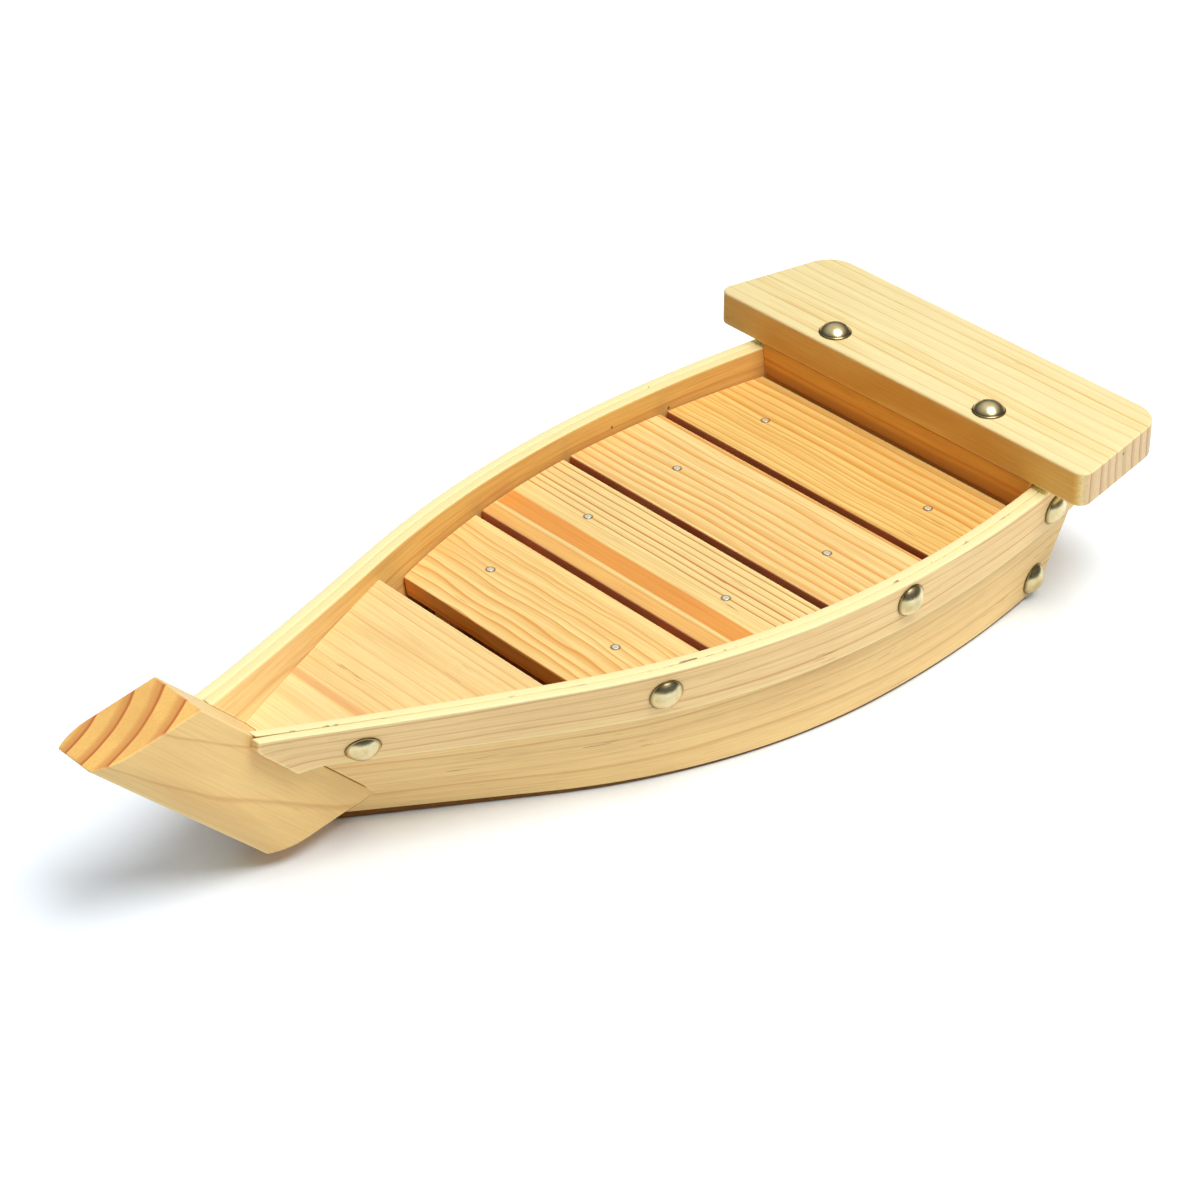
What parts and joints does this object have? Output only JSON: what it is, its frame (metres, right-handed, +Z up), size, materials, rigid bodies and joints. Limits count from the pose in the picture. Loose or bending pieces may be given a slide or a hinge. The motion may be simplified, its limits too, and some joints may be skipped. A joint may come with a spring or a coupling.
{
  "type": "sushi boat",
  "caption": "Flared wooden serving boat with a raked stem, a stern board, a foredeck and a slatted deck grate that lifts out, held with brass dome tacks.",
  "frame": {"origin": "on the table, under the middle of the boat's overall box", "axes": "+X to the bow, +Y to port, +Z up"},
  "size_m": [0.368, 0.1634, 0.0687],
  "materials": {
    "stem_pine": "planed pine, oiled lightly, growth rings on the end cuts",
    "plank_pine": "planed pine, satin, grain along the boat",
    "rail_pine": "planed pine, satin, pale top edge",
    "pale_pine": "planed sapwood pine, satin",
    "slat_pine": "planed pine with strong straight grain, satin",
    "heart_pine": "planed heartwood pine, satin",
    "shaded_pine": "sawn pine, matt",
    "tack_brass": "polished pale brass domes",
    "brad_steel": "bright flat steel heads"
  },
  "bodies": {
    "hull": {"stem_block": "stem_pine", "port_side_plank": "plank_pine", "starboard_side_plank": "plank_pine", "port_rail": "rail_pine", "starboard_rail": "rail_pine", "bottom_board": "shaded_pine", "transom": "heart_pine", "stern_board": "pale_pine", "foredeck": "pale_pine", "foredeck_beam": "shaded_pine", "fore_bearer": "shaded_pine", "aft_bearer": "shaded_pine", "port_tacks": "tack_brass", "starboard_tacks": "tack_brass", "stern_board_tacks": "tack_brass", "bottom_brads": "brad_steel"},
    "grate": {"deck_slat_1": "slat_pine", "deck_slat_2": "slat_pine", "deck_slat_3": "slat_pine", "deck_slat_4": "slat_pine", "port_batten": "shaded_pine", "starboard_batten": "shaded_pine", "slat_brads": "brad_steel"}
  },
  "joints": [
    {"name": "grate_lift", "type": "slide", "parent": "hull", "child": "grate", "axis": [0, 0, 1], "range_m": [0, 0.06]}
  ]
}
